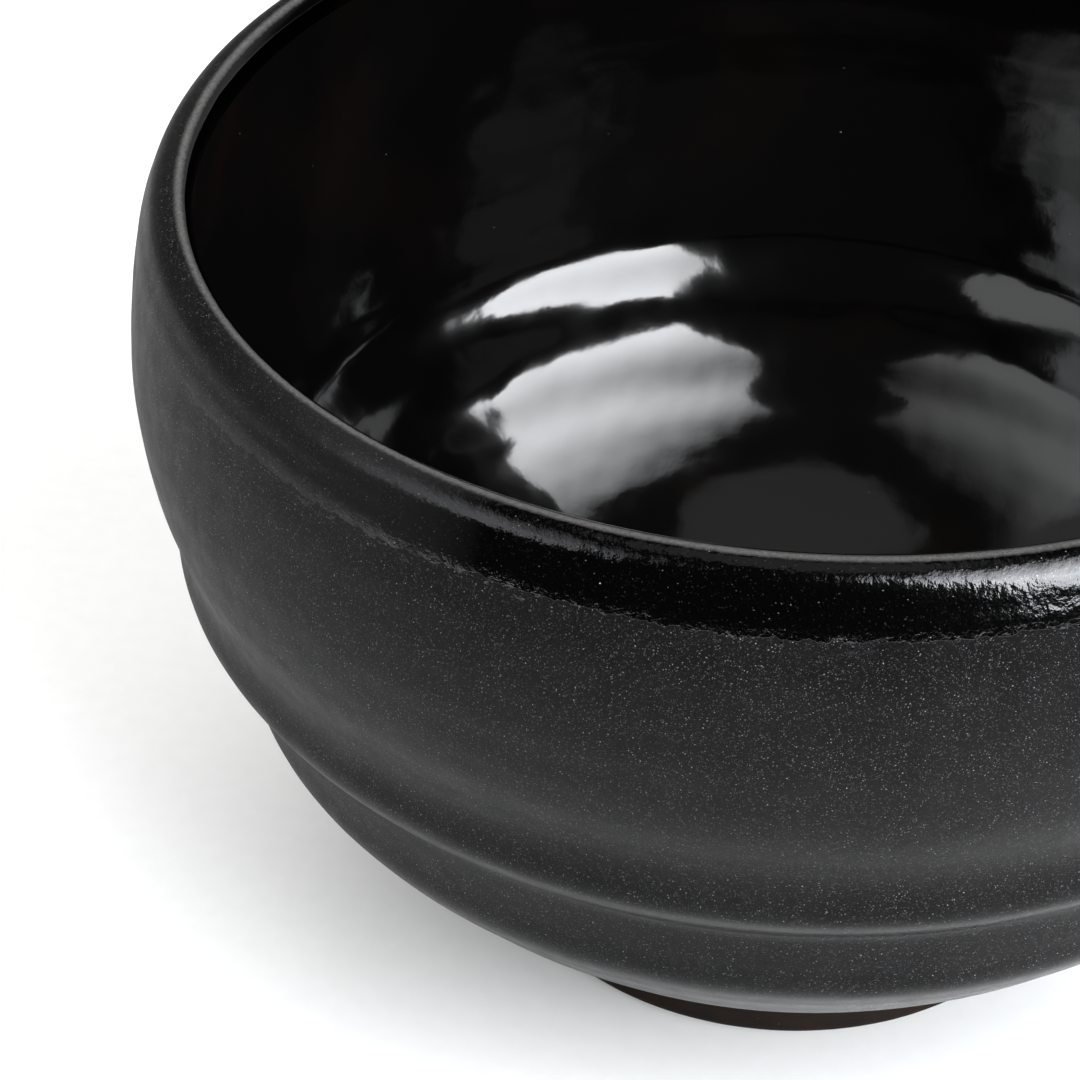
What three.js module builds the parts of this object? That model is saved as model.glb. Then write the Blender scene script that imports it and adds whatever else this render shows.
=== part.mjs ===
// Matcha bowl (chawan): a wheel-thrown stoneware bowl with a turned foot ring. A matte charcoal
// glaze coats the outside, a glossy black liner glaze coats the inside, and a band of the gloss
// glaze laps over the lip. Millimetres, +Z up; the foot stands on z = 0 and the axis is Z.
import * as THREE from "three";

// ---- driving dimensions ----------------------------------------------------------------------
const GLAZE_THICKNESS = 0.5;
const CONTACT_GAP = 0.3;        // left between pieces that touch
const TURNS = 48;               // facets round the bowl

const FLOOR_HEIGHT = 11.5;      // middle of the inside floor, above the table
const LIP_HEIGHT = 76;          // top of the lip, above the table
const LIP_RADIUS = 55.4;        // where the lip is highest
const BELLY_RADIUS = 60.1;      // widest point of the outside
const BELLY_HEIGHT = 59.3;

const FOOT_HEIGHT = 5.6;        // top of the foot ring, under the bowl
const FOOT_TOP_RADIUS = 28.9;
const FOOT_WAIST_RADIUS = 27.9;
const FOOT_SOLE_OUTER = 26.8;   // the flat the bowl stands on
const FOOT_SOLE_INNER = 22.8;
const FOOT_INNER_RADIUS = 21.6;
const FOOT_CHAMFER = 0.6;
const WELL_CROWN = 0.7;         // the floor of the foot well rises this much at its middle

// The finished surface in section, [radius, height], in the order the glaze is followed:
// from the middle of the floor up the inside, over the lip, and down the outside to the foot.
const INSIDE_WALL = [
  [0, FLOOR_HEIGHT],
  [12, FLOOR_HEIGHT + 0.3],
  [22, 13.2],
  [31, 16.6],
  [38.5, 21.6],
  [44.5, 28],
  [49, 35],
  [52.3, 43],
  [54.3, 51],
  [55.3, 58.5],
  [55.4, 64],
  [54.9, 69],
  [54.1, 73],
];
const LIP = [
  [54.1, 74.7],
  [54.6, 75.6],
  [LIP_RADIUS, LIP_HEIGHT],
  [56.5, 75.7],
  [57.6, 74.7],
  [58.3, 73],
];
const BELLY = [
  [58.9, 71],
  [59.7, 66],
  [BELLY_RADIUS, BELLY_HEIGHT],
  [59.6, 54.4],
  [59, 51.2],
  [58.3, 49],
];
const THROWING_RINGS = [
  [57.6, 47],
  [57, 45],
  [56.8, 43],
  [56.9, 41.2],   // first ring, just under the belly
  [56.7, 39.9],
  [56, 38.4],
  [54.2, 36.8],   // step under the first ring
  [52.6, 35.3],
  [51.9, 33.2],
  [51.4, 30.2],
  [51.1, 27.8],   // second ring
];
const TURNED_UNDERSIDE = [
  [50.2, 25.7],
  [47.6, 22.8],
  [44, 18.8],
  [38.4, 13.4],
  [33, 9.2],
  [29.3, 6.6],
];
const SURFACE = [...INSIDE_WALL, ...LIP, ...BELLY, ...THROWING_RINGS, ...TURNED_UNDERSIDE];
const LINER_ENDS_AT = INSIDE_WALL.length - 1;
const BAND_ENDS_AT = INSIDE_WALL.length + LIP.length;
const GLAZE_ENDS_AT = SURFACE.length - 1;

// ---- section paths ---------------------------------------------------------------------------
const surfaceCurve = new THREE.CatmullRomCurve3(
  SURFACE.map(([radius, height]) => new THREE.Vector3(radius, height, 0)),
  false,
  "centripetal",
);

// The stretch of the surface from one point of SURFACE to another, rounded between the points.
function surfaceStretch(fromPoint, toPoint, stepsPerPoint) {
  const path = [];
  for (let step = fromPoint * stepsPerPoint; step <= toPoint * stepsPerPoint; step += 1) {
    const spot = surfaceCurve.getPoint(step / (GLAZE_ENDS_AT * stepsPerPoint));
    path.push(new THREE.Vector2(spot.x, spot.y));
  }
  return path;
}

// The same path sunk into the clay by a depth; a point on the axis stays on the axis.
function sink(path, depth) {
  return path.map((point, index) => {
    const before = path[Math.max(index - 1, 0)];
    const after = path[Math.min(index + 1, path.length - 1)];
    const along = after.clone().sub(before).normalize();
    const radius = point.x === 0 ? 0 : point.x + along.y * depth;
    return new THREE.Vector2(radius, point.y - along.x * depth);
  });
}

// Draws the last point of a path back along its last segment.
function shortenEnd(path, distance) {
  const last = path[path.length - 1];
  const inward = path[path.length - 2].clone().sub(last).setLength(distance);
  return [...path.slice(0, -1), last.clone().add(inward)];
}

function shortenStart(path, distance) {
  return shortenEnd([...path].reverse(), distance).reverse();
}

// Section of a coat: its outer face, then its inner face back to the start.
function coatSection(face) {
  const back = sink(face, GLAZE_THICKNESS).reverse();
  const startsOnAxis = face[0].x === 0;
  return startsOnAxis ? [...face, ...back] : [...face, ...back, face[0].clone()];
}

// ---- solids ----------------------------------------------------------------------------------
// Sections are drawn clockwise; a lathe wants them the other way for its faces to point out.
function revolve(section) {
  const geometry = new THREE.LatheGeometry([...section].reverse(), TURNS);
  geometry.rotateX(Math.PI / 2);
  return geometry;
}

function piece(name, geometry, colour, roughness) {
  const material = new THREE.MeshStandardMaterial({ color: colour, roughness, metalness: 0 });
  const mesh = new THREE.Mesh(geometry, material);
  mesh.name = name;
  return mesh;
}

// Glossy black coat over the inside, from the middle of the floor to just under the lip.
function linerGlaze() {
  const face = shortenEnd(surfaceStretch(0, LINER_ENDS_AT, 1), CONTACT_GAP / 2);
  return piece("inner_gloss_glaze", revolve(coatSection(face)), 0x08080a, 0.08);
}

// The gloss glaze over the lip and a few millimetres down the outside.
function rimBand() {
  const stretch = surfaceStretch(LINER_ENDS_AT, BAND_ENDS_AT, 2);
  const face = shortenStart(shortenEnd(stretch, CONTACT_GAP / 2), CONTACT_GAP / 2);
  return piece("rim_gloss_band", revolve(coatSection(face)), 0x0b0b0d, 0.12);
}

// Matte charcoal coat from under the rim band to the foot.
function matteGlaze() {
  const face = shortenStart(surfaceStretch(BAND_ENDS_AT, GLAZE_ENDS_AT, 1), CONTACT_GAP / 2);
  return piece("outer_matte_glaze", revolve(coatSection(face)), 0x2b2c2e, 0.62);
}

// The thrown clay: floor and wall in one, with a shallow crowned ceiling over the foot well.
function stonewareBody() {
  const depth = GLAZE_THICKNESS + CONTACT_GAP;
  const wall = sink(surfaceStretch(0, GLAZE_ENDS_AT, 1), depth);
  const underside = FOOT_HEIGHT + CONTACT_GAP;
  const bottom = [
    new THREE.Vector2(FOOT_TOP_RADIUS - depth, underside),
    new THREE.Vector2(FOOT_INNER_RADIUS, underside),
    new THREE.Vector2(FOOT_INNER_RADIUS / 2, underside + WELL_CROWN),
    new THREE.Vector2(0, underside + WELL_CROWN),
  ];
  return piece("stoneware_body", revolve([...wall, ...bottom]), 0x4a3428, 0.85);
}

// The bare turned foot ring: a waisted outside wall, a flat sole, and a leaning inside wall.
function footRing() {
  const section = [
    [FOOT_TOP_RADIUS, FOOT_HEIGHT],
    [FOOT_WAIST_RADIUS, FOOT_HEIGHT * 0.6],
    [FOOT_WAIST_RADIUS - 0.3, FOOT_HEIGHT * 0.3],
    [FOOT_SOLE_OUTER + FOOT_CHAMFER, FOOT_CHAMFER],
    [FOOT_SOLE_OUTER, 0],
    [FOOT_SOLE_INNER, 0],
    [FOOT_SOLE_INNER - FOOT_CHAMFER, FOOT_CHAMFER],
    [FOOT_INNER_RADIUS, FOOT_HEIGHT],
    [FOOT_TOP_RADIUS, FOOT_HEIGHT],
  ];
  const path = section.map(([radius, height]) => new THREE.Vector2(radius, height));
  return piece("foot_ring", revolve(path), 0x3f2b20, 0.88);
}

const bowl = new THREE.Group();
bowl.name = "matcha_bowl";
bowl.add(stonewareBody(), footRing(), linerGlaze(), rimBand(), matteGlaze());

export default bowl;
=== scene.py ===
"""Matcha bowl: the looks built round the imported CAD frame.

Each glaze coat and the foot ring is revolved again from its CAD section at a fine step, with the
small unevenness of hand throwing. The script reads only the frame.
"""
import math

import bpy
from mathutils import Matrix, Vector, noise
from mathutils.bvhtree import BVHTree


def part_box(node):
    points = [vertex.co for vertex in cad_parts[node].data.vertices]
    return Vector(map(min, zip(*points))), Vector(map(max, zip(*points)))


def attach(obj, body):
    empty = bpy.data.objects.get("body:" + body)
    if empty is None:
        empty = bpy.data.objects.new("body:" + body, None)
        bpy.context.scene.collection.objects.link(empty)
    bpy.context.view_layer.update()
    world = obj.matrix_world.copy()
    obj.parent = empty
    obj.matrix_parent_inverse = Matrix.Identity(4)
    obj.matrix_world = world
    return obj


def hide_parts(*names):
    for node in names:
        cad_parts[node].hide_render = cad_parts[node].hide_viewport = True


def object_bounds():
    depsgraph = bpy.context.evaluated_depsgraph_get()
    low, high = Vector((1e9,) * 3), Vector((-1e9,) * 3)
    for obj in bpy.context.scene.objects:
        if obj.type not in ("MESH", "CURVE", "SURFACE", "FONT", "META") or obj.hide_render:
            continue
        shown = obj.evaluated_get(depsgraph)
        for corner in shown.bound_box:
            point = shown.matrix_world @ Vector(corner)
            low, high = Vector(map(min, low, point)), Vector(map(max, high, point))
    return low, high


MM = 0.001

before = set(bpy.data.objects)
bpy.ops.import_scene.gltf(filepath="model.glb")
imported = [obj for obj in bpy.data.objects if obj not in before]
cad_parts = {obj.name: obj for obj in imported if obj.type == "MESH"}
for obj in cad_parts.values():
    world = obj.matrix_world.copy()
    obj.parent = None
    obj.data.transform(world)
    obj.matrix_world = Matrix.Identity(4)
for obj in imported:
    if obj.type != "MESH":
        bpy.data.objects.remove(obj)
cad_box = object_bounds()

# ---- sizes the looks are built from -----------------------------------------------------------
LIP_TOP = cad_box[1].z
COAT_THICKNESS = 0.45 * MM
OUTER_FACE_CLEARANCE = 0.55 * MM   # a coat's outer face stands further than this off the clay
FINE_STEP = 0.22 * MM              # step along the lip
WALL_KEEPS = 3                     # the walls keep every third step
FOOT_STEP = 0.35 * MM
FOOT_WOBBLE = 0.12 * MM
TURNS_FINE = 512                   # facets round the bowl
AXIS_REACH = 0.01 * MM             # a point this near the axis lies on it
LINER_BACK_ROWS = 30               # rows on the hidden face of a coat, which stays under its front
RIM_BACK_ROWS = 20
OUTSIDE_BACK_ROWS = 70
SLIDE_STEPS = 14                   # rows this near the glaze line follow it
INSIDE_RING = 31 * MM              # height of a soft throwing ring on the inside wall
INSIDE_RING_DEPTH = 0.2 * MM
INSIDE_RING_WAVE = 9 * MM
FIRST_EDGE = 38.5 * MM             # lower edge of the first ring on the outside
FIRST_EDGE_DEPTH = 0.24 * MM
SECOND_EDGE = 25.4 * MM            # lower edge of the second ring
SECOND_EDGE_DEPTH = 0.18 * MM
EDGE_SPREAD = 1.3 * MM
SWAY_DEPTH = 0.16 * MM             # the lip is out of round by this much
SWAY_AZIMUTH = math.radians(165)
LEAN_DEPTH = 0.25 * MM             # the lower body leans off centre
LEAN_AZIMUTH = math.radians(-60)
TRIANGLE_DEPTH = 0.05 * MM         # the whole wall is faintly three-sided
LIFT_DEPTH = 0.25 * MM             # the lip rises and falls
COARSE_LINES = (4.3 * MM, 0.022 * MM)   # throwing lines: pitch, depth
FINE_LINES = (1.7 * MM, 0.008 * MM)
LINE_PATCH = 9 * MM                # the lines come and go over this height

# ---- the glaze line of the gloss band ---------------------------------------------------------
BAND_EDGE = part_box("rim_gloss_band")[0].z
BAND_MARGIN = 0.35 * MM            # the band's own piece stops this far above its glaze line
EDGE_SWING = (0.35 * MM, 0.22 * MM)     # slow waves of the line round the bowl
EDGE_RAGS = (0.45 * MM, 0.2 * MM)       # ragged unevenness, broad and fine
COOL_AZIMUTH = 170                 # the glaze is less glossy round this side


def direction(azimuth_degrees):
    angle = math.radians(azimuth_degrees)
    return Vector((math.cos(angle), math.sin(angle), 0))


# ---- CAD sections -----------------------------------------------------------------------------
def section(node):
    """The node's vertices on the +X side of the XZ plane, as (radius, height) points."""
    points = set()
    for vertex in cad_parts[node].data.vertices:
        x, y, z = vertex.co
        if abs(y) < AXIS_REACH and x > -AXIS_REACH:
            points.add((round(max(x, 0.0), 7), round(z, 7)))
    return [Vector(point) for point in points]


def tree_of(node):
    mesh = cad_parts[node].data
    vertices = [vertex.co.copy() for vertex in mesh.vertices]
    faces = [tuple(polygon.vertices) for polygon in mesh.polygons]
    return BVHTree.FromPolygons(vertices, faces)


def outer_face(node, clay):
    """The section points of a coat that lie on its finished face, away from the clay."""
    return [
        point
        for point in section(node)
        if clay.find_nearest(Vector((point.x, 0, point.y)))[3] > OUTER_FACE_CLEARANCE
    ]


def around(points):
    """Sorts points clockwise round their middle, starting from the left."""
    middle = sum(points, Vector((0, 0))) / len(points)
    return sorted(points, key=lambda p: -math.atan2(p.y - middle.y, p.x - middle.x))


def finished_surface():
    """The whole glazed surface in section: floor, inside wall, lip, outside, foot."""
    clay = tree_of("stoneware_body")
    inside = sorted(outer_face("inner_gloss_glaze", clay), key=lambda p: (p.y, p.x))
    outside = sorted(outer_face("outer_matte_glaze", clay), key=lambda p: -p.y)
    rim = outer_face("rim_gloss_band", clay)
    low = min(point.y for point in rim)
    hub = Vector(((inside[-1].x + outside[0].x) / 2, low))
    rim.sort(key=lambda p: -math.atan2(p.y - hub.y, p.x - hub.x))
    return inside + rim + outside


def rounded(points, step):
    """A centripetal Catmull-Rom curve through the points, sampled about every step."""
    first = points[0] * 2 - points[1]
    last = points[-1] * 2 - points[-2]
    padded = [first, *points, last]
    path = []
    for a, b, c, d in zip(padded, padded[1:], padded[2:], padded[3:]):
        knots = [0.0]
        for start, end in ((a, b), (b, c), (c, d)):
            knots.append(knots[-1] + max((end - start).length, 1e-7) ** 0.5)
        count = max(1, round((c - b).length / step))
        for index in range(count):
            t = knots[1] + (knots[2] - knots[1]) * index / count
            ab = a.lerp(b, (t - knots[0]) / (knots[1] - knots[0]))
            bc = b.lerp(c, (t - knots[1]) / (knots[2] - knots[1]))
            cd = c.lerp(d, (t - knots[2]) / (knots[3] - knots[2]))
            abc = ab.lerp(bc, (t - knots[0]) / (knots[2] - knots[0]))
            bcd = bc.lerp(cd, (t - knots[1]) / (knots[3] - knots[1]))
            path.append(abc.lerp(bcd, (t - knots[1]) / (knots[2] - knots[1])))
    path.append(points[-1].copy())
    return path


def normals_of(path):
    """Unit normals on the left of travel, which is the air side of the glazed surface."""
    normals = []
    for index in range(len(path)):
        before = path[max(index - 1, 0)]
        after = path[min(index + 1, len(path) - 1)]
        along = (after - before).normalized()
        normals.append(Vector((-along.y, along.x)))
    return normals


# ---- hand-thrown unevenness -------------------------------------------------------------------
def smooth(low, high, value):
    t = min(max((value - low) / (high - low), 0.0), 1.0)
    return t * t * (3 - 2 * t)


def thrown(radius, height, azimuth):
    """Where a point of the true section lands on the hand-thrown bowl."""
    to_lip = smooth(0.8 * LIP_TOP, LIP_TOP, height)
    low = smooth(8 * MM, 22 * MM, height) * (1 - smooth(28 * MM, 42 * MM, height))
    off_centre = smooth(12 * MM, 40 * MM, radius)
    wide = azimuth - SWAY_AZIMUTH
    sway = SWAY_DEPTH * (math.cos(wide) + math.cos(2 * wide)) * to_lip
    sway += LEAN_DEPTH * math.cos(azimuth - LEAN_AZIMUTH) * low
    sway += TRIANGLE_DEPTH * math.sin(3 * azimuth + 2.1)
    lift = LIFT_DEPTH * math.sin(2 * azimuth - 1.29) * to_lip
    r = radius + sway * off_centre
    return Vector((r * math.cos(azimuth), r * math.sin(azimuth), height + lift))


def throwing_lines(height, azimuth):
    """Faint spiral lines that the fingers leave, as a height off the surface."""
    turn = azimuth / (2 * math.pi)
    pitch, depth = COARSE_LINES
    coarse = depth * math.sin(2 * math.pi * (height / pitch + turn))
    pitch, depth = FINE_LINES
    fine = depth * math.sin(2 * math.pi * (height / pitch + turn) + 1.3)
    spot = Vector((math.cos(azimuth), math.sin(azimuth), height / LINE_PATCH))
    return (coarse + fine) * (0.5 + 0.5 * noise.noise(spot))


def inside_ring(height):
    """A soft ring low on the inside wall, as a height off the surface."""
    near = smooth(INSIDE_RING - 9 * MM, INSIDE_RING - 4 * MM, height)
    near *= 1 - smooth(INSIDE_RING + 6 * MM, INSIDE_RING + 11 * MM, height)
    wave = math.sin(2 * math.pi * (height - INSIDE_RING) / INSIDE_RING_WAVE)
    return INSIDE_RING_DEPTH * wave * near


def hump(height, middle, spread):
    """1 at the middle height, falling away smoothly on both sides."""
    return math.exp(-(((height - middle) / spread) ** 2))


def ring_edges(height):
    """The lower edge of each ring is worn rounder, as a height off the plain surface."""
    first = FIRST_EDGE_DEPTH * hump(height, FIRST_EDGE, EDGE_SPREAD)
    second = SECOND_EDGE_DEPTH * hump(height, SECOND_EDGE, EDGE_SPREAD)
    return -first - second


def band_edge(azimuth):
    """Height of the ragged lower edge of the gloss band."""
    spot = Vector((math.cos(azimuth), math.sin(azimuth), 0))
    slow = EDGE_SWING[0] * math.sin(azimuth + 0.4) + EDGE_SWING[1] * math.sin(3 * azimuth + 0.5)
    ragged = EDGE_RAGS[0] * noise.noise(spot * 5) + EDGE_RAGS[1] * noise.noise(spot * 23)
    return BAND_EDGE + slow + ragged


def towards_cool(spot):
    """1 on the side that faced the cool side of the kiln, -1 on the side away from it."""
    return Vector((spot.x, spot.y, 0)).normalized().dot(direction(COOL_AZIMUTH))


# ---- building pieces --------------------------------------------------------------------------
def new_piece(name, vertices, faces, sharp_degrees=40):
    mesh = bpy.data.meshes.new(name)
    mesh.from_pydata(vertices, [], faces)
    mesh.validate()
    mesh.shade_smooth()
    mesh.set_sharp_from_angle(angle=math.radians(sharp_degrees))
    piece = bpy.data.objects.new(name, mesh)
    bpy.context.scene.collection.objects.link(piece)
    return piece


def revolve(name, rows, turns=TURNS_FINE):
    """Closes rows into a solid of rings. Each row is a function from an azimuth to a point.

    A row that is a plain point lies on the axis and closes the rings there.
    """
    vertices = []
    rings = []
    for row in rows:
        if isinstance(row, Vector):
            rings.append([len(vertices)] * turns)
            vertices.append(row)
            continue
        start = len(vertices)
        for turn in range(turns):
            vertices.append(row(2 * math.pi * turn / turns))
        rings.append(list(range(start, start + turns)))
    closes_on_axis = isinstance(rows[0], Vector)
    pairs = list(zip(rings, rings[1:]))
    if not closes_on_axis:
        pairs.append((rings[-1], rings[0]))
    faces = []
    for lower, upper in pairs:
        for turn in range(turns):
            after = (turn + 1) % turns
            corners = [lower[turn], lower[after], upper[after], upper[turn]]
            corners = list(dict.fromkeys(corners))
            if len(corners) > 2:
                faces.append(tuple(reversed(corners)))
    return new_piece(name, vertices, faces)


def slide(index, azimuth):
    """How many steps a row moves down the surface, so that coats meet along the glaze line."""
    nearness = smooth(BAND_STOPS - SLIDE_STEPS, BAND_STOPS, index)
    nearness *= 1 - smooth(BAND_STOPS, BAND_STOPS + SLIDE_STEPS, index)
    return nearness * (BAND_EDGE - band_edge(azimuth)) / FINE_STEP


def coat_rows(indices, relief, back_rows):
    """Rows for a coat: the finished face with its relief, then a plain hidden face."""

    def on_surface(index, azimuth):
        along = min(index + slide(index, azimuth), len(surface) - 1)
        low = min(int(along), len(surface) - 2)
        point = surface[low].lerp(surface[low + 1], along - low)
        return point, normals[low].lerp(normals[low + 1], along - low)

    def face(index, azimuth):
        point, normal = on_surface(index, azimuth)
        spot = point + normal * relief(point, azimuth)
        return thrown(spot.x, spot.y, azimuth)

    def back(index, azimuth):
        point, normal = on_surface(index, azimuth)
        spot = point - normal * COAT_THICKNESS
        return thrown(spot.x, spot.y, azimuth)

    rows = []
    for index in indices:
        if surface[index].x < AXIS_REACH:
            rows.append(Vector((0, 0, surface[index].y)))
        else:
            rows.append(lambda azimuth, index=index: face(index, azimuth))
    for row in range(back_rows):
        index = indices[round((len(indices) - 1) * (1 - row / (back_rows - 1)))]
        if surface[index].x < AXIS_REACH:
            rows.append(Vector((0, 0, surface[index].y - COAT_THICKNESS)))
        else:
            rows.append(lambda azimuth, index=index: back(index, azimuth))
    return rows


def store(piece, name, value):
    """Keeps a number for each vertex, for the materials to read."""
    layer = piece.data.attributes.new(name, "FLOAT", "POINT")
    for index, vertex in enumerate(piece.data.vertices):
        layer.data[index].value = value(vertex.co)


def azimuth_of(spot):
    return math.atan2(spot.y, spot.x)


# ---- node trees -------------------------------------------------------------------------------
class Nodes:
    """Short names for building a material's node tree."""

    def __init__(self, name):
        self.material = bpy.data.materials.new(name)
        self.material.use_nodes = True
        self.tree = self.material.node_tree
        self.shader = self.tree.nodes["Principled BSDF"]
        self.place = self.add("ShaderNodeTexCoord").outputs["Object"]

    def add(self, kind, **settings):
        node = self.tree.nodes.new(kind)
        for key, value in settings.items():
            setattr(node, key, value)
        return node

    def link(self, source, socket):
        self.tree.links.new(source, socket)

    def feed(self, socket, value):
        if isinstance(value, bpy.types.NodeSocket):
            self.link(value, socket)
        else:
            socket.default_value = value

    def math(self, operation, *values, clamp=False):
        node = self.add("ShaderNodeMath", operation=operation, use_clamp=clamp)
        for socket, value in zip(node.inputs, values):
            self.feed(socket, value)
        return node.outputs[0]

    def stretched(self, x, y, z):
        node = self.add("ShaderNodeVectorMath", operation="MULTIPLY")
        self.link(self.place, node.inputs[0])
        node.inputs[1].default_value = (x, y, z)
        return node.outputs[0]

    def noise(self, size, detail=2.0, roughness=0.5, where=None):
        """Noise between about 0.25 and 0.75 whose blobs are about size metres across."""
        node = self.add("ShaderNodeTexNoise")
        self.link(where or self.place, node.inputs["Vector"])
        node.inputs["Scale"].default_value = 1 / size
        node.inputs["Detail"].default_value = detail
        node.inputs["Roughness"].default_value = roughness
        return node.outputs["Fac"]

    def warped(self):
        """The place, pushed about by slow noise, so that cells never line up with the surface."""
        push = self.add("ShaderNodeTexNoise")
        self.link(self.place, push.inputs["Vector"])
        push.inputs["Scale"].default_value = 1 / WARP_SIZE
        push.inputs["Detail"].default_value = 0
        move = self.add("ShaderNodeVectorMath", operation="MULTIPLY_ADD")
        self.link(push.outputs["Color"], move.inputs[0])
        move.inputs[1].default_value = (WARP_AMOUNT, WARP_AMOUNT, WARP_AMOUNT)
        self.link(self.place, move.inputs[2])
        return move.outputs[0]

    def cells(self, size):
        node = self.add("ShaderNodeTexVoronoi")
        self.link(self.warped(), node.inputs["Vector"])
        node.inputs["Scale"].default_value = 1 / size
        return node

    def fade(self, value, low, high, to_low=0.0, to_high=1.0):
        node = self.add("ShaderNodeMapRange", clamp=True)
        for socket, number in zip(node.inputs[:5], (value, low, high, to_low, to_high)):
            self.feed(socket, number)
        return node.outputs[0]

    def mix(self, factor, first, second):
        node = self.add("ShaderNodeMix", data_type="RGBA")
        self.feed(node.inputs[0], factor)
        self.feed(node.inputs[6], first)
        self.feed(node.inputs[7], second)
        return node.outputs[2]

    def blend(self, factor, first, second):
        node = self.add("ShaderNodeMix", data_type="FLOAT")
        self.feed(node.inputs[0], factor)
        self.feed(node.inputs[2], first)
        self.feed(node.inputs[3], second)
        return node.outputs[0]

    def attribute(self, name):
        node = self.add("ShaderNodeAttribute", attribute_name=name)
        return node.outputs["Fac"]

    def bump(self, height, distance, strength=1.0, under=None):
        node = self.add("ShaderNodeBump")
        node.inputs["Distance"].default_value = distance
        self.feed(node.inputs["Strength"], strength)
        self.link(height, node.inputs["Height"])
        if under is not None:
            self.link(under, node.inputs["Normal"])
        return node.outputs["Normal"]

    def finish(self, colour, roughness, normal):
        self.link(colour, self.shader.inputs["Base Color"])
        self.feed(self.shader.inputs["Roughness"], roughness)
        self.link(normal, self.shader.inputs["Normal"])
        return self.material


def specks(nodes, spacing, radius, share):
    """Soft-edged round specks of a radius, in a share of the cells of a spacing."""
    cells = nodes.cells(spacing)
    dot = nodes.fade(cells.outputs["Distance"], radius / spacing, 0.5 * radius / spacing)
    pick = nodes.add("ShaderNodeSeparateColor")
    nodes.link(cells.outputs["Color"], pick.inputs[0])
    chosen = nodes.fade(pick.outputs[0], 1 - share, 1 - 0.6 * share)
    brightness = nodes.math("POWER", pick.outputs[1], SPECK_CONTRAST)
    return nodes.math("MULTIPLY", nodes.math("MULTIPLY", dot, chosen), brightness)


WARP_SIZE = 4 * MM                 # slow push that keeps the speck cells out of line
WARP_AMOUNT = 1.3 * MM
SPECK_CONTRAST = 1.9               # higher leaves fewer bright specks among faint ones
CHARCOAL = (0.0034, 0.0033, 0.0035, 1)
CHARCOAL_LIGHT = (0.0064, 0.0062, 0.0065, 1)
MATTE_SPECULAR = 0.078
CLAY_SPECULAR = 0.15
MATTE_ROUGHNESS = (0.25, 0.31)     # least and most
COOL_ROUGHNESS = (0.44, 0.52)      # the same glaze on the cool side of the kiln
LINER_ROUGHNESS = (0.07, 0.12)
CLAY_ROUGHNESS = (0.72, 0.88)
RIM_INSIDE_ROUGHNESS = 0.09
GLOSS_ROUGHNESS = 0.12
LIP_ROUGHNESS = 0.42
SATIN_GLOSS = 0.05                 # share of the gloss that the band keeps on the cool side
GLOSS_IOR = 1.7
GLOSS_BLACK = (0.0011, 0.0011, 0.0012, 1)
GLOSS_MIRROR = (0.058, 0.058, 0.06, 1)    # colour of a mirror as bright as the gloss glaze
LINER_MIRROR = (0.067, 0.067, 0.068, 1)
GLOSS_BROWN = (0.0026, 0.0018, 0.0014, 1)
# pale colour of specks and grit; on the glazes the specks are partly crystals and partly painted
# glints
PALE_SPECK_AND_GLINT = (0.42, 0.42, 0.43, 1)
# layers of specks, on the glazes partly crystals and partly painted glints of them: spacing,
# radius, share of cells that hold one, strength
MATTE_SPECKS_AND_GLINTS = (
    (0.15 * MM, 0.065 * MM, 0.9, 0.15),
    (0.25 * MM, 0.064 * MM, 0.7, 0.5),
    (1.2 * MM, 0.075 * MM, 0.5, 0.8),
)
GLOSS_SPECKS_AND_GLINTS = (
    (0.2 * MM, 0.065 * MM, 0.7, 0.2),
    (0.38 * MM, 0.07 * MM, 0.5, 0.6),
    (1.5 * MM, 0.085 * MM, 0.6, 1.0),
)
LINER_SPECKS_AND_GLINTS = ((2.6 * MM, 0.13 * MM, 0.25, 0.3),)
CLAY_GRIT = ((0.9 * MM, 0.16 * MM, 0.4, 0.6),)
# grey of the line along the lip: partly thin glaze, partly a painted highlight
LIP_THIN_GLAZE_AND_HIGHLIGHT_GREY = (0.085, 0.083, 0.08, 1)
LIP_THIN_GLAZE_AND_HIGHLIGHT_GREY_DARK = (0.04, 0.039, 0.038, 1)
FOOT_BROWN = (0.013, 0.0065, 0.0038, 1)
FOOT_DARK = (0.0045, 0.0028, 0.002, 1)
FOOT_GRIT = (0.16, 0.12, 0.09, 1)


def specks_grit_and_glints(nodes, layers):
    """How much the layers of specks cover a spot; on the glazes the specks are partly painted
    glints.
    """
    cover = 0.0
    for spacing, radius, share, strength in layers:
        dots = nodes.math("MULTIPLY", specks(nodes, spacing, radius, share), strength)
        cover = nodes.math("MAXIMUM", dots, cover)
    return cover


def matte_colour(nodes):
    drift = nodes.noise(9 * MM, 3)
    runs = nodes.noise(1.6 * MM, 2, where=nodes.stretched(1, 1, 0.08))
    tone = nodes.blend(0.35, drift, runs)
    return nodes.mix(nodes.fade(tone, 0.35, 0.68), CHARCOAL, CHARCOAL_LIGHT)


def matte_grain(nodes):
    grain = nodes.noise(0.16 * MM, 2, 0.6)
    waves = nodes.noise(5 * MM, 2)
    broad = nodes.bump(waves, 0.14 * MM, 0.6)
    return nodes.bump(grain, 0.012 * MM, 0.8, broad)


def orange_peel(nodes, strength, under):
    swell = nodes.bump(nodes.noise(2.6 * MM, 2), 0.12 * MM, strength, under)
    return nodes.bump(nodes.noise(0.5 * MM, 2, 0.6), 0.04 * MM, strength, swell)


def cool_side(nodes):
    """1 on the side of the bowl that faced the cool side of the kiln, 0 on the other."""
    return nodes.fade(nodes.attribute("towards_cool"), -0.3, 0.7)


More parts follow.
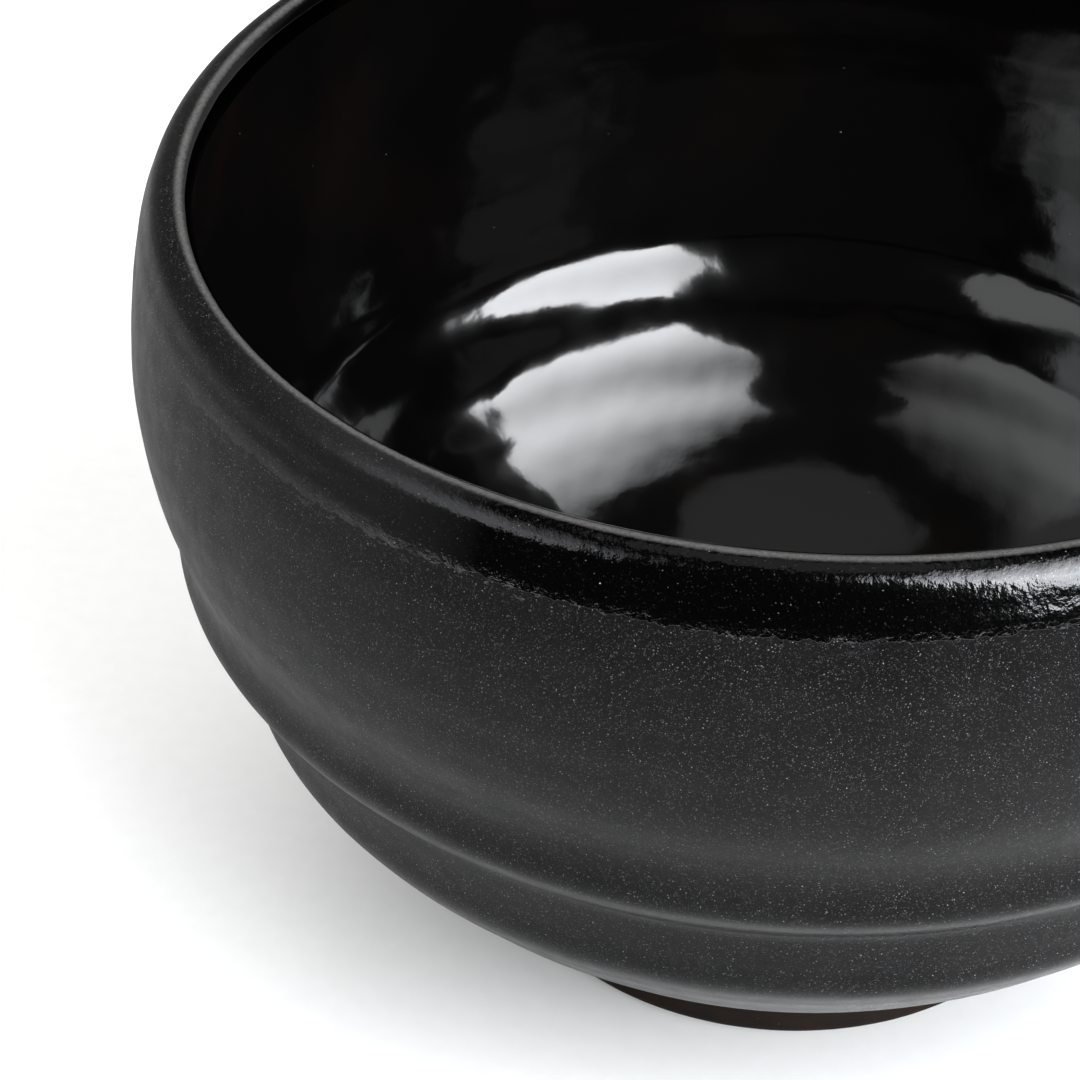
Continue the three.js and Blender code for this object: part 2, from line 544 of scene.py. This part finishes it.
def matte_roughness(nodes):
    cloud = nodes.noise(2.2 * MM, 3)
    warm = nodes.fade(cloud, 0.3, 0.7, *MATTE_ROUGHNESS)
    cool = nodes.fade(cloud, 0.3, 0.7, *COOL_ROUGHNESS)
    return nodes.blend(cool_side(nodes), warm, cool)


def band_gloss(nodes):
    """Gloss of the band's glaze round the bowl: full, but nearly gone on the cool side."""
    return nodes.fade(nodes.attribute("towards_cool"), 0.25, 0.8, 1.0, SATIN_GLOSS)


# pale specks of the glaze, partly crystals and partly painted glints
def speck_and_glint_cover(nodes, glossy):
    return nodes.blend(glossy, specks_grit_and_glints(nodes, MATTE_SPECKS_AND_GLINTS), specks_grit_and_glints(nodes, GLOSS_SPECKS_AND_GLINTS))


def glaze_colour(nodes, glossy, mirror, cover):
    """A glaze between matte charcoal and black gloss, under its pale specks, which are partly
    painted glints.
    """
    base = nodes.mix(nodes.math("POWER", glossy, 2.0), matte_colour(nodes), mirror)
    return nodes.mix(cover, base, PALE_SPECK_AND_GLINT)


def set_gloss(nodes, glossy, dull):
    """Lets the gloss vary over the piece: it is a black mirror on the Metallic socket.

    Dull spots lie on top of it: specks, which are partly painted glints, and the lip line, which
    is partly thin glaze and partly a painted highlight.
    """
    clear = nodes.math("SUBTRACT", 1.0, dull, clamp=True)
    nodes.link(nodes.math("MULTIPLY", glossy, clear), nodes.shader.inputs["Metallic"])
    nodes.shader.inputs["Specular IOR Level"].default_value = MATTE_SPECULAR


def outside_material():
    """Matte charcoal glaze, turning to gloss black above the ragged glaze line."""
    nodes = Nodes("matte_charcoal_glaze")
    above = nodes.attribute("above_glaze_line")
    ragged = nodes.noise(1.1 * MM, 3, 0.5)
    height = nodes.math("ADD", above, nodes.fade(ragged, 0.25, 0.75, -0.3 * MM, 0.3 * MM))
    glossy = nodes.fade(height, -0.03 * MM, 0.03 * MM)
    blots = nodes.noise(0.9 * MM, 1, where=nodes.stretched(0.7, 0.7, 1.8))
    near_line = nodes.fade(above, -1.3 * MM, -0.5 * MM)
    islands = nodes.math("MULTIPLY", nodes.fade(blots, 0.66, 0.68), near_line)
    glossy = nodes.math("MAXIMUM", glossy, islands)
    glossy = nodes.math("MULTIPLY", glossy, band_gloss(nodes))
    # pale specks, partly painted glints
    cover = speck_and_glint_cover(nodes, glossy)
    set_gloss(nodes, glossy, cover)
    roughness = nodes.blend(glossy, matte_roughness(nodes), GLOSS_ROUGHNESS)
    step = nodes.bump(glossy, 0.02 * MM, 0.5, matte_grain(nodes))
    colour = glaze_colour(nodes, glossy, GLOSS_MIRROR, cover)
    return nodes.finish(colour, roughness, orange_peel(nodes, glossy, step))


def lip_thin_glaze_and_highlight(nodes, past_crest):
    """1 along the frayed grey line over the top of the lip, which is partly glaze run thin and
    partly a painted highlight.
    """
    frayed = nodes.fade(nodes.noise(0.6 * MM, 3), 0.2, 0.8, -0.08 * MM, 0.08 * MM)
    distance = nodes.math("ABSOLUTE", nodes.math("ADD", past_crest, frayed))
    return nodes.fade(distance, 0.46 * MM, 0.1 * MM)


def rim_material():
    """Gloss black, smooth inside and orange-peel outside, with a grey line along the lip that is
    partly thin glaze and partly a painted highlight.
    """
    nodes = Nodes("rim_gloss_glaze")
    past_crest = nodes.attribute("past_crest")
    # grey line along the lip: partly thin glaze, partly a painted highlight
    thin_glaze_and_highlight = lip_thin_glaze_and_highlight(nodes, past_crest)
    outward = nodes.fade(past_crest, -0.3 * MM, 0.6 * MM)
    glossy = nodes.blend(outward, 1.0, band_gloss(nodes))
    # pale specks on the outer face, partly painted glints
    cover = nodes.math("MULTIPLY", speck_and_glint_cover(nodes, glossy), outward)
    set_gloss(nodes, glossy, nodes.math("ADD", thin_glaze_and_highlight, cover))
    mirror = nodes.mix(outward, LINER_MIRROR, GLOSS_MIRROR)
    black = glaze_colour(nodes, glossy, mirror, cover)
    grain = nodes.fade(nodes.noise(0.2 * MM, 3), 0.3, 0.7)
    # grey of the lip line, partly thin glaze and partly a painted highlight
    grey_thin_glaze_and_highlight = nodes.mix(grain, LIP_THIN_GLAZE_AND_HIGHLIGHT_GREY_DARK, LIP_THIN_GLAZE_AND_HIGHLIGHT_GREY)
    gloss_roughness = nodes.fade(outward, 0, 1, RIM_INSIDE_ROUGHNESS, GLOSS_ROUGHNESS)
    roughness = nodes.blend(glossy, matte_roughness(nodes), gloss_roughness)
    roughness = nodes.blend(thin_glaze_and_highlight, roughness, LIP_ROUGHNESS)
    waves = nodes.bump(nodes.noise(11 * MM, 2), 0.5 * MM, nodes.fade(outward, 0, 1, 0.5, 0))
    peel = orange_peel(nodes, nodes.math("MULTIPLY", outward, glossy), waves)
    return nodes.finish(nodes.mix(thin_glaze_and_highlight, black, grey_thin_glaze_and_highlight), roughness, peel)


def liner_colour(nodes):
    tone = nodes.fade(nodes.noise(18 * MM, 3), 0.45, 0.75)
    base = nodes.mix(tone, GLOSS_BLACK, GLOSS_BROWN)
    # pale specks in the liner, partly painted glints
    return nodes.mix(specks_grit_and_glints(nodes, LINER_SPECKS_AND_GLINTS), base, PALE_SPECK_AND_GLINT)


def liner_material():
    """Deep gloss black with faint brown clouds and long soft waves."""
    nodes = Nodes("liner_gloss_glaze")
    waves = nodes.bump(nodes.noise(11 * MM, 2), 0.5 * MM, 0.5)
    normal = nodes.bump(nodes.noise(1.3 * MM, 2), 0.012 * MM, 0.6, waves)
    roughness = nodes.fade(nodes.noise(6 * MM, 2), 0.3, 0.7, *LINER_ROUGHNESS)
    nodes.shader.inputs["IOR"].default_value = GLOSS_IOR
    return nodes.finish(liner_colour(nodes), roughness, normal)


def clay_material(name):
    """Bare dark brown stoneware with turning lines and pale grit."""
    nodes = Nodes(name)
    tone = nodes.fade(nodes.noise(3 * MM, 4), 0.35, 0.65)
    base = nodes.mix(tone, FOOT_DARK, FOOT_BROWN)
    colour = nodes.mix(specks_grit_and_glints(nodes, CLAY_GRIT), base, FOOT_GRIT)
    grain = nodes.bump(nodes.noise(0.25 * MM, 3), 0.04 * MM, 0.8)
    lines = nodes.noise(0.5 * MM, 3, where=nodes.stretched(0.15, 0.15, 1.0))
    normal = nodes.bump(lines, 0.08 * MM, 0.8, grain)
    roughness = nodes.fade(tone, 0, 1, *CLAY_ROUGHNESS)
    nodes.shader.inputs["Specular IOR Level"].default_value = CLAY_SPECULAR
    return nodes.finish(colour, roughness, normal)


# ---- the bowl ---------------------------------------------------------------------------------
surface = rounded(finished_surface(), FINE_STEP)
normals = normals_of(surface)
crest = max(surface, key=lambda point: point.y)
liner_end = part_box("inner_gloss_glaze")[1].z
BAND_STARTS = next(i for i, p in enumerate(surface) if p.y > liner_end)
band_low = BAND_EDGE + BAND_MARGIN
BAND_STOPS = max(i for i, p in enumerate(surface) if p.x > crest.x and p.y > band_low)


def thinned(start, stop):
    """Every few steps of the surface from start to stop, with both ends."""
    return [*range(start, stop, WALL_KEEPS), stop]


def liner():
    def relief(point, azimuth):
        return 0.5 * throwing_lines(point.y, azimuth) + inside_ring(point.y)

    piece = revolve("liner_coat", coat_rows(thinned(0, BAND_STARTS), relief, LINER_BACK_ROWS))
    piece.data.materials.append(liner_material())
    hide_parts("inner_gloss_glaze")
    return piece


def outer_relief(point, azimuth):
    return throwing_lines(point.y, azimuth) + ring_edges(point.y)


def rim():
    rows = coat_rows(list(range(BAND_STARTS, BAND_STOPS + 1)), outer_relief, RIM_BACK_ROWS)
    piece = revolve("rim_coat", rows)
    store(piece, "past_crest", lambda co: math.hypot(co.x, co.y) - crest.x)
    store(piece, "towards_cool", towards_cool)
    piece.data.materials.append(rim_material())
    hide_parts("rim_gloss_band")
    return piece


def outside():
    indices = thinned(BAND_STOPS, len(surface) - 1)
    piece = revolve("outside_coat", coat_rows(indices, outer_relief, OUTSIDE_BACK_ROWS))
    store(piece, "above_glaze_line", lambda co: co.z - band_edge(azimuth_of(co)))
    store(piece, "towards_cool", towards_cool)
    piece.data.materials.append(outside_material())
    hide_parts("outer_matte_glaze")
    return piece


def foot():
    corners = around(section("foot_ring"))
    path = rounded([*corners, corners[0]], FOOT_STEP)[:-1]

    def ring(azimuth, point):
        spot = Vector((math.cos(azimuth) * 9, math.sin(azimuth) * 9, point.y / (3 * MM)))
        radius = point.x + FOOT_WOBBLE * noise.noise(spot) * smooth(0, 1 * MM, point.y)
        return direction(math.degrees(azimuth)) * radius + Vector((0, 0, max(point.y, 0)))

    rows = [lambda azimuth, point=point: ring(azimuth, point) for point in path]
    piece = revolve("foot_ring_clay", rows)
    piece.data.materials.append(clay_material("foot_clay"))
    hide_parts("foot_ring")
    return piece


pieces = [liner(), rim(), outside(), foot()]
for piece in pieces:
    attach(piece, "root")

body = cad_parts["stoneware_body"]
body.data.materials.clear()
body.data.materials.append(clay_material("body_clay"))


# ---- floor, light and camera ------------------------------------------------------------------
SWEEP_AZIMUTH = 110                # the middle of the white sweep behind the bowl
SWEEP_GLOW = 0.36
CEILING_GLOW = 0.3
ROOM_GLOW = 0.03
TABLE_RADIUS = 0.34
TABLE_MIDDLE = Vector((0, 0.1, 0))
FLOOR_WHITE = (0.89, 0.89, 0.89, 1)
FLOOR_WHITE_DARK = (0.87, 0.87, 0.87, 1)
DAYLIGHT = (0.95, 0.975, 1)
PALE_DAYLIGHT = (0.97, 0.985, 1)
WARM_WHITE = (1, 0.995, 0.985)
# softboxes: name, azimuth, elevation, distance, width, height, glow, colour
WINDOW_RIGHT = ("window_right", -32, 34, 1.2, 1.15, 1.5, 12.5, DAYLIGHT)
WINDOW_LEFT = ("window_left", -151, 44, 1.2, 0.95, 0.8, 1.2, PALE_DAYLIGHT)
BACK_LIGHT = ("back", 72, 42, 1.4, 1.6, 1.0, 2.9, WARM_WHITE)
FILL_LIGHT = ("fill", 225, 58, 1.6, 2.2, 2.2, 1.75, WARM_WHITE)
LENS = 133.3
SENSOR_WIDTH = 36
CAMERA_PLACE = Vector((0, -296, 257.2)) * MM
CAMERA_TURN = (53.13, -0.71, 5.15)    # degrees about X, Y and Z


def floor():
    material = Nodes("pale_floor")
    grain = material.noise(2 * MM, 2)
    colour = material.mix(material.fade(grain, 0.3, 0.7), FLOOR_WHITE_DARK, FLOOR_WHITE)
    material.finish(colour, 0.7, material.bump(grain, 0.01 * MM, 0.2))
    rim_points = [TABLE_MIDDLE + direction(angle) * TABLE_RADIUS for angle in range(0, 360, 3)]
    sheet = new_piece("floor", rim_points, [tuple(range(len(rim_points)))])
    sheet.data.materials.append(material.material)


def softbox(name, azimuth, elevation, distance, width, height, glow, colour):
    """A rectangular light of an even glow, aimed at the bowl from an azimuth and elevation."""
    data = bpy.data.lights.new(name, "AREA")
    data.shape = "RECTANGLE"
    data.size = width
    data.size_y = height
    data.energy = glow * math.pi * width * height
    data.color = colour
    light = bpy.data.objects.new(name, data)
    target = Vector((0, 0, LIP_TOP / 2))
    flat = direction(azimuth) * math.cos(math.radians(elevation))
    away = flat + Vector((0, 0, math.sin(math.radians(elevation))))
    light.location = target + away * distance
    light.rotation_euler = away.to_track_quat("Z", "Y").to_euler()
    bpy.context.scene.collection.objects.link(light)
    return light


def shade_upwards(light, stops):
    """Varies a softbox's glow up its face. Each stop is (height, share), 0 at foot, 1 at head."""
    data = light.data
    data.use_nodes = True
    tree = data.node_tree
    place = tree.nodes.new("ShaderNodeNewGeometry")
    split = tree.nodes.new("ShaderNodeSeparateXYZ")
    ramp = tree.nodes.new("ShaderNodeValToRGB")
    tree.links.new(place.outputs["Parametric"], split.inputs[0])
    tree.links.new(split.outputs[1], ramp.inputs[0])
    for index, (height, share) in enumerate(stops):
        known = index < len(ramp.color_ramp.elements)
        stop = ramp.color_ramp.elements[index] if known else ramp.color_ramp.elements.new(height)
        stop.position = height
        stop.color = (share, share, share, 1)
    tree.links.new(ramp.outputs[0], tree.nodes["Emission"].inputs["Strength"])


def surroundings():
    """A white sweep behind the bowl, a dark room in front and a dim ceiling.

    The glaze reflects them; the camera itself sees a pale backdrop.
    """
    world = bpy.data.worlds.new("studio")
    bpy.context.scene.world = world
    world.use_nodes = True
    tree = world.node_tree
    tree.nodes.clear()

    def add(kind, **settings):
        node = tree.nodes.new(kind)
        for key, value in settings.items():
            setattr(node, key, value)
        return node

    def fade(value, low, high):
        node = add("ShaderNodeMapRange", clamp=True)
        tree.links.new(value, node.inputs[0])
        node.inputs[1].default_value = low
        node.inputs[2].default_value = high
        return node.outputs[0]

    def combine(operation, first, second):
        node = add("ShaderNodeMath", operation=operation)
        for socket, value in zip(node.inputs, (first, second)):
            if isinstance(value, float):
                socket.default_value = value
            else:
                tree.links.new(value, socket)
        return node.outputs[0]

    towards = add("ShaderNodeTexCoord").outputs["Generated"]
    parts = add("ShaderNodeSeparateXYZ")
    tree.links.new(towards, parts.inputs[0])
    behind = add("ShaderNodeVectorMath", operation="DOT_PRODUCT")
    tree.links.new(towards, behind.inputs[0])
    behind.inputs[1].default_value = direction(SWEEP_AZIMUTH)
    below_top = fade(parts.outputs[2], 0.88, 0.84)
    sweep = combine("MULTIPLY", fade(behind.outputs["Value"], 0.05, 0.3), below_top)
    ceiling = combine("MULTIPLY", fade(parts.outputs[2], 0.95, 0.965), CEILING_GLOW)
    light = combine("ADD", combine("MULTIPLY", sweep, SWEEP_GLOW), ceiling)
    glow = combine("ADD", light, ROOM_GLOW)
    room = add("ShaderNodeBackground")
    tree.links.new(glow, room.inputs["Strength"])
    backdrop = add("ShaderNodeBackground")
    backdrop.inputs["Color"].default_value = (1, 1, 1, 1)
    either = add("ShaderNodeMixShader")
    output = add("ShaderNodeOutputWorld")
    tree.links.new(add("ShaderNodeLightPath").outputs["Is Camera Ray"], either.inputs[0])
    tree.links.new(room.outputs[0], either.inputs[1])
    tree.links.new(backdrop.outputs[0], either.inputs[2])
    tree.links.new(either.outputs[0], output.inputs["Surface"])


def camera():
    data = bpy.data.cameras.new("camera")
    data.lens = LENS
    data.sensor_width = SENSOR_WIDTH
    data.clip_start = 0.01
    eye = bpy.data.objects.new("camera", data)
    eye.location = CAMERA_PLACE
    eye.rotation_euler = [math.radians(angle) for angle in CAMERA_TURN]
    bpy.context.scene.collection.objects.link(eye)
    bpy.context.scene.camera = eye


floor()
shade_upwards(softbox(*WINDOW_RIGHT), [(0, 0.7), (0.4, 1.0), (1, 0.03)])
shade_upwards(softbox(*WINDOW_LEFT), [(0, 1.0), (0.4, 1.0), (1, 0.04)])
for settings in (BACK_LIGHT, FILL_LIGHT):
    softbox(*settings).visible_glossy = False
surroundings()
camera()
bpy.context.scene.view_settings.view_transform = "Standard"
